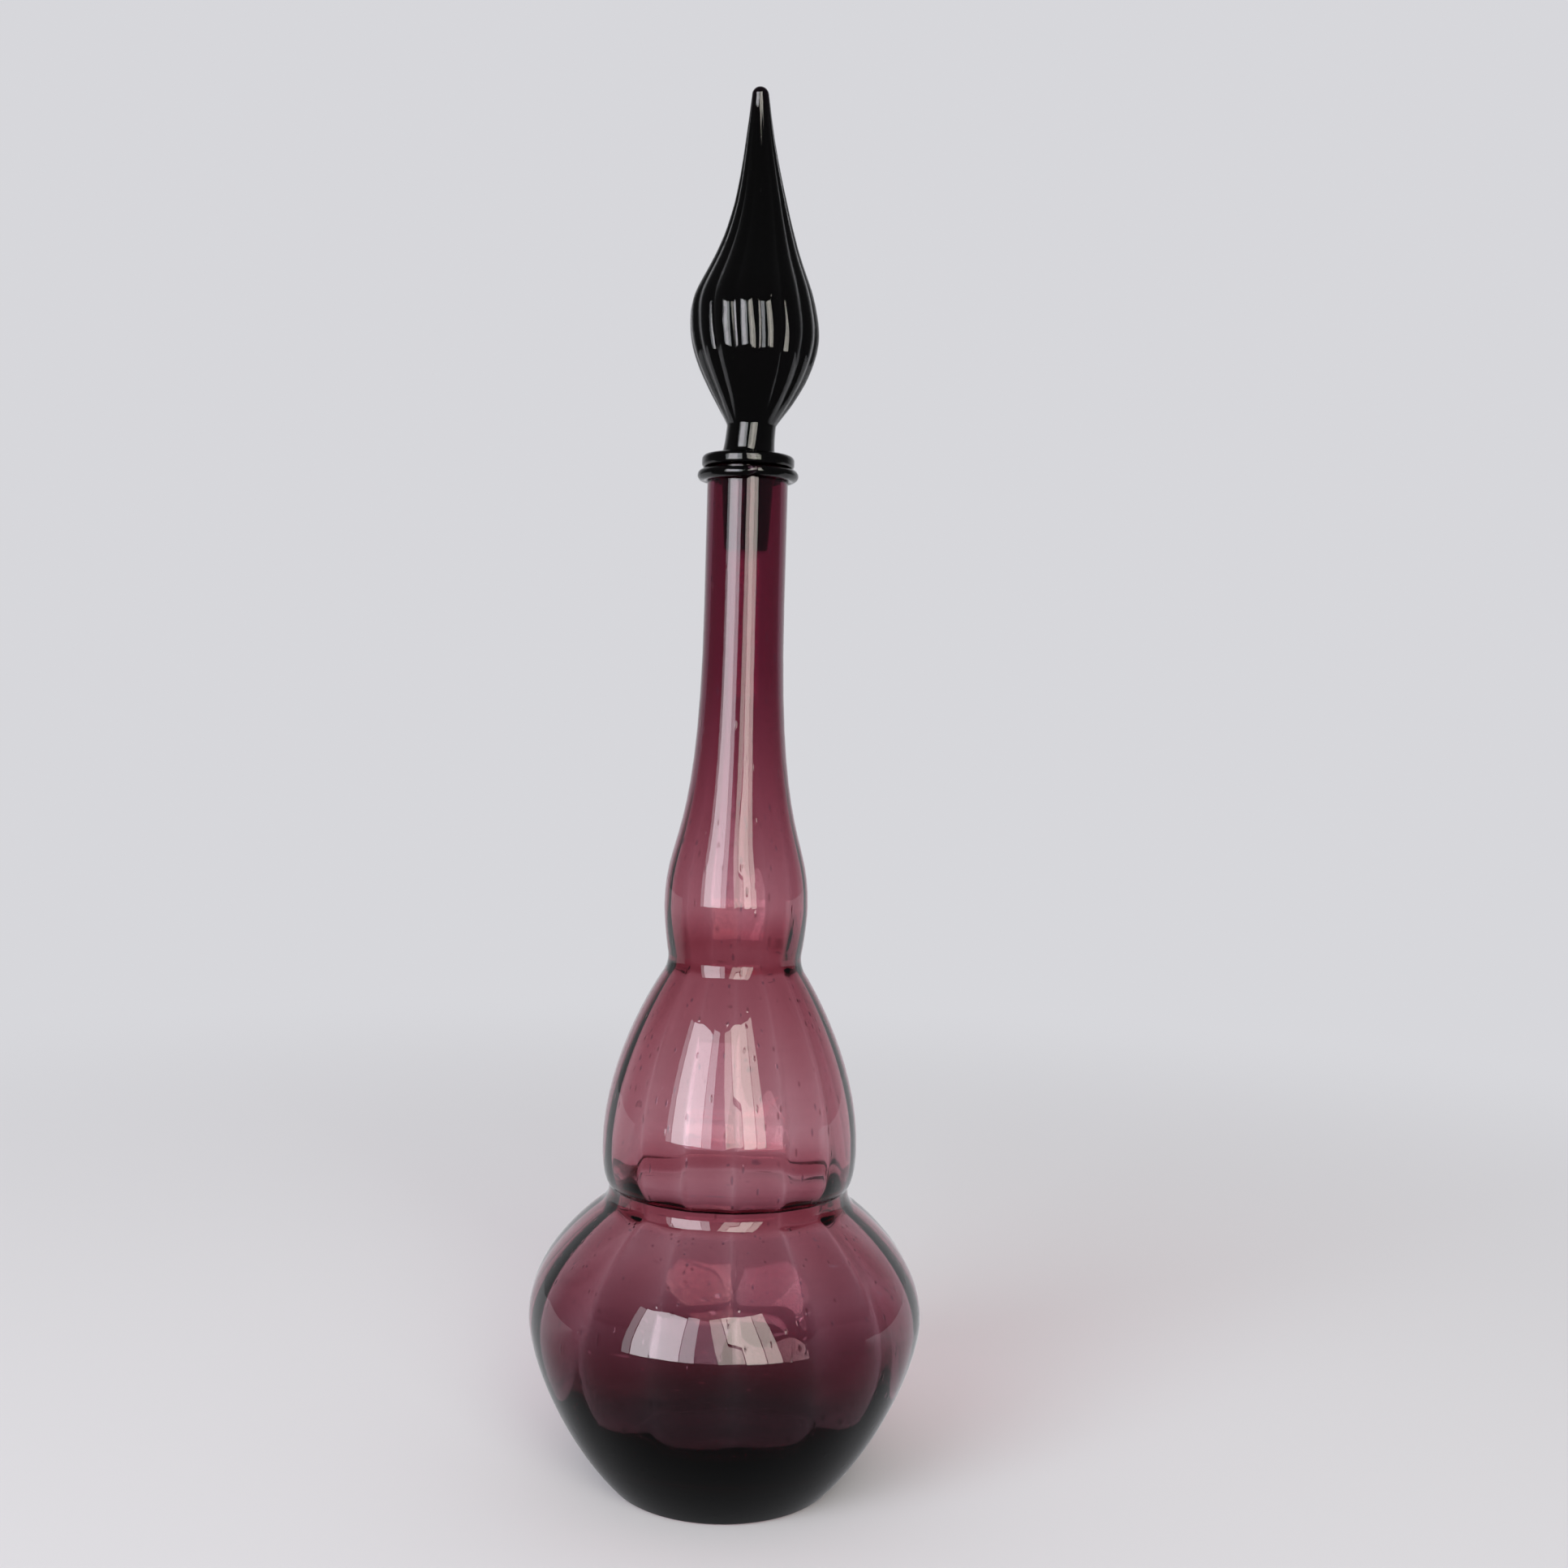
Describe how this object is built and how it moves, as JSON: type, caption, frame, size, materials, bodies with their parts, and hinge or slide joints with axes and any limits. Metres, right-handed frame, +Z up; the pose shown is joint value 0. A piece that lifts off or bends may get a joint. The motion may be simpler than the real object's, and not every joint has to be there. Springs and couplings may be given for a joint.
{
  "type": "glass decanter with stopper",
  "caption": "Tall blown amethyst-glass bottle with three bulges, a long neck and a lip ring, closed by a loose ribbed flame stopper that lifts out",
  "frame": {"origin": "on the axis of the bottle, at the level that its foot ring stands on", "axes": "+Z up along the axis of the bottle and its stopper; +X to the right and +Y away from someone who looks at it"},
  "size_m": [0.1588, 0.1588, 0.56],
  "materials": {
    "amethyst_glass": "fire-polished blown glass, faint upright ribs, small seeds",
    "dark_amethyst_glass": "fire-polished blown glass, nearly black, sixteen ribs"
  },
  "bodies": {
    "bottle": {"bottle_body": "amethyst_glass", "lip_ring": "amethyst_glass"},
    "stopper": {"stopper_flame": "dark_amethyst_glass", "stopper_disc": "dark_amethyst_glass", "stopper_plug": "dark_amethyst_glass"}
  },
  "joints": [
    {"name": "stopper_lift", "type": "slide", "parent": "bottle", "child": "stopper", "axis": [0, 0, 1], "range_m": [0, 0.08]}
  ]
}
